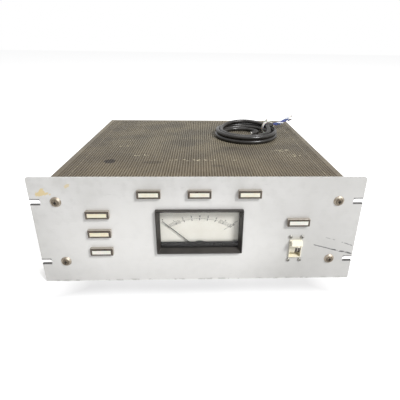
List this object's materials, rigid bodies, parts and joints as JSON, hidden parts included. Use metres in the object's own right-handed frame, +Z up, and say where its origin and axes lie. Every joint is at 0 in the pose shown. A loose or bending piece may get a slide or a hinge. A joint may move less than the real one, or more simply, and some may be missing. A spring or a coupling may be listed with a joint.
{
  "type": "turbomolecular pump frequency converter",
  "caption": "Rack-mounted frequency converter for a turbomolecular pump, with a panel meter, illuminated push-buttons, a circuit breaker and a coiled pump cable on its cover.",
  "frame": {"origin": "middle of the bottom edge of the rack panel's rear face, which is the rack's mounting plane", "axes": "+X to the right seen from the front, +Y into the rack, +Z up"},
  "size_m": [0.4826, 0.4254, 0.2056],
  "materials": {
    "panel_metal": "satin",
    "plated_steel": "satin",
    "frame_metal": "satin",
    "cover_paint": "satin",
    "bezel_black": "matte",
    "button_rim": "satin",
    "button_lens": "gloss",
    "lamp_glass": "gloss",
    "terminal_brass": "satin",
    "window_glass": "gloss",
    "dial_card": "matte",
    "needle_black": "satin",
    "movement_iron": "satin",
    "case_black": "matte",
    "breaker_ivory": "gloss",
    "breaker_case": "matte",
    "core_iron": "satin",
    "winding_tape": "satin",
    "can_aluminium": "satin",
    "board_green": "satin",
    "component_black": "matte",
    "sink_black": "matte",
    "connector_metal": "satin",
    "fuse_black": "satin",
    "strip_black": "satin",
    "gland_grey": "satin",
    "cable_jacket": "satin",
    "nylon_white": "satin",
    "heat_shrink": "satin",
    "lead_blue": "satin",
    "lug_tin": "satin"
  },
  "bodies": {
    "case": {"base_plate": "frame_metal", "base_screws": "plated_steel", "board_components": "component_black", "board_standoffs": "terminal_brass", "breaker_body": "breaker_ivory", "breaker_screws": "plated_steel", "button_blades": "terminal_brass", "button_bulbs": "lamp_glass", "button_housing_1": "button_rim", "button_housing_2": "button_rim", "button_housing_3": "button_rim", "button_housing_4": "button_rim", "button_housing_5": "button_rim", "button_housing_6": "button_rim", "button_housing_7": "button_rim", "cable_boot": "heat_shrink", "cable_coil": "cable_jacket", "cable_leads": "lead_blue", "cable_plug": "case_black", "cable_tail": "cable_jacket", "cable_tie": "nylon_white", "capacitor_clamps": "plated_steel", "case_screws": "plated_steel", "clinch_nuts": "plated_steel", "control_board": "board_green", "cord_gland": "gland_grey", "cup_washers": "plated_steel", "filter_capacitors": "can_aluminium", "front_panel": "panel_metal", "fuse_holders": "fuse_black", "heat_sink": "sink_black", "lead_lugs": "lug_tin", "meter_bezel": "bezel_black", "meter_case": "case_black", "meter_dial": "dial_card", "meter_mask": "bezel_black", "meter_movement": "movement_iron", "meter_nuts": "plated_steel", "meter_window": "window_glass", "output_connector": "connector_metal", "panel_screws": "plated_steel", "power_transistors": "plated_steel", "rear_panel": "frame_metal", "side_frame_left": "frame_metal", "side_frame_right": "frame_metal", "terminal_strip": "strip_black", "top_cover": "cover_paint", "transformer_bolts": "plated_steel", "transformer_brackets": "plated_steel", "transformer_coil": "winding_tape", "transformer_core": "core_iron"},
    "button_1": {"button_cap_1": "button_lens"},
    "button_2": {"button_cap_2": "button_lens"},
    "button_3": {"button_cap_3": "button_lens"},
    "button_4": {"button_cap_4": "button_lens"},
    "button_5": {"button_cap_5": "button_lens"},
    "button_6": {"button_cap_6": "button_lens"},
    "button_7": {"button_cap_7": "button_lens"},
    "needle": {"meter_needle": "needle_black"},
    "handle": {"breaker_handle": "breaker_ivory"}
  },
  "joints": [
    {"name": "button_1_press", "type": "slide", "parent": "case", "child": "button_1", "axis": [0, 1, 0], "range_m": [0, 0.002], "stiffness_N_per_m": 400, "springref_m": -0.001},
    {"name": "button_2_press", "type": "slide", "parent": "case", "child": "button_2", "axis": [0, 1, 0], "range_m": [0, 0.002], "stiffness_N_per_m": 400, "springref_m": -0.001},
    {"name": "button_3_press", "type": "slide", "parent": "case", "child": "button_3", "axis": [0, 1, 0], "range_m": [0, 0.002], "stiffness_N_per_m": 400, "springref_m": -0.001},
    {"name": "button_4_press", "type": "slide", "parent": "case", "child": "button_4", "axis": [0, 1, 0], "range_m": [0, 0.002], "stiffness_N_per_m": 400, "springref_m": -0.001},
    {"name": "button_5_press", "type": "slide", "parent": "case", "child": "button_5", "axis": [0, 1, 0], "range_m": [0, 0.002], "stiffness_N_per_m": 400, "springref_m": -0.001},
    {"name": "button_6_press", "type": "slide", "parent": "case", "child": "button_6", "axis": [0, 1, 0], "range_m": [0, 0.002], "stiffness_N_per_m": 400, "springref_m": -0.001},
    {"name": "button_7_press", "type": "slide", "parent": "case", "child": "button_7", "axis": [0, 1, 0], "range_m": [0, 0.002], "stiffness_N_per_m": 400, "springref_m": -0.001},
    {"name": "needle_swing", "type": "hinge", "parent": "case", "child": "needle", "pos_m": [0, 0.0044, 0.0508], "axis": [0, 1, 0], "range_deg": [0, 95], "stiffness_Nm_per_rad": 0.00002},
    {"name": "handle_throw", "type": "hinge", "parent": "case", "child": "handle", "pos_m": [0.1484, 0.00882, 0.0575], "axis": [1, 0, 0], "range_deg": [0, 67.5]}
  ]
}
